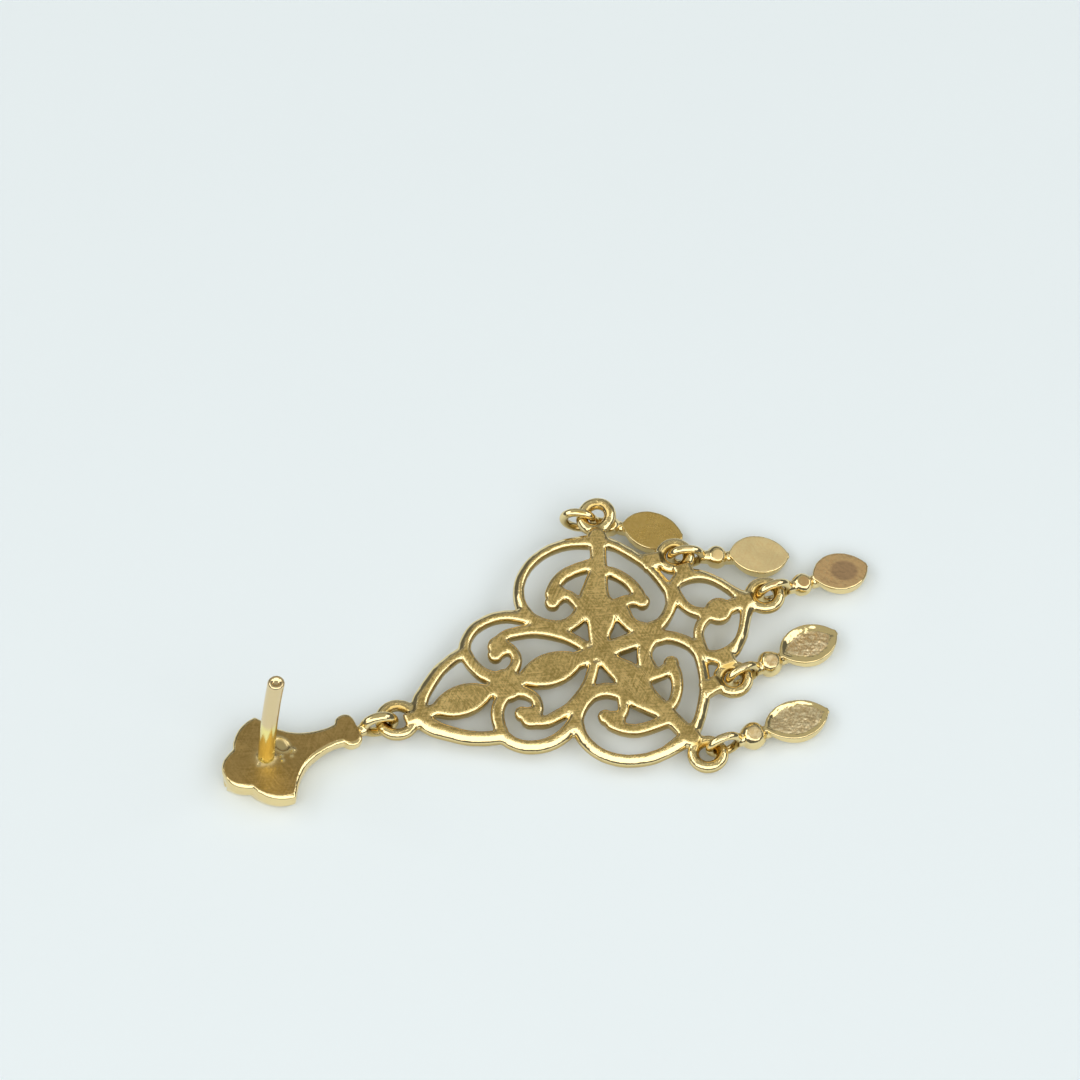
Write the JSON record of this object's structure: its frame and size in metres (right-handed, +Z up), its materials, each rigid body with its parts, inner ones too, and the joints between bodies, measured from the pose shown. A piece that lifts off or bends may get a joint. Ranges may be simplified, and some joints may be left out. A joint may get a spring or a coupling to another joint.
{
  "type": "stud earring",
  "caption": "Gold drop earring on an ear post: trefoil stud plate, pierced scroll panel and five leaf drops on rings.",
  "frame": {"origin": "centre of the underside of the bounding box, on the surface that the earring lies on", "axes": "+X from the stud plate to the drops, +Y across the panel towards the folded first drop, +Z up along the ear post"},
  "size_m": [0.0408, 0.0196, 0.0089],
  "materials": {
    "satin_gold": "satin yellow gold, filed flat and brushed",
    "polished_gold": "polished yellow gold"
  },
  "bodies": {
    "root": {"stud_plate": "satin_gold", "filigree_panel": "satin_gold", "drop_1": "polished_gold", "drop_2": "polished_gold", "drop_3": "polished_gold", "drop_4": "polished_gold", "drop_5": "polished_gold"}
  },
  "joints": []
}
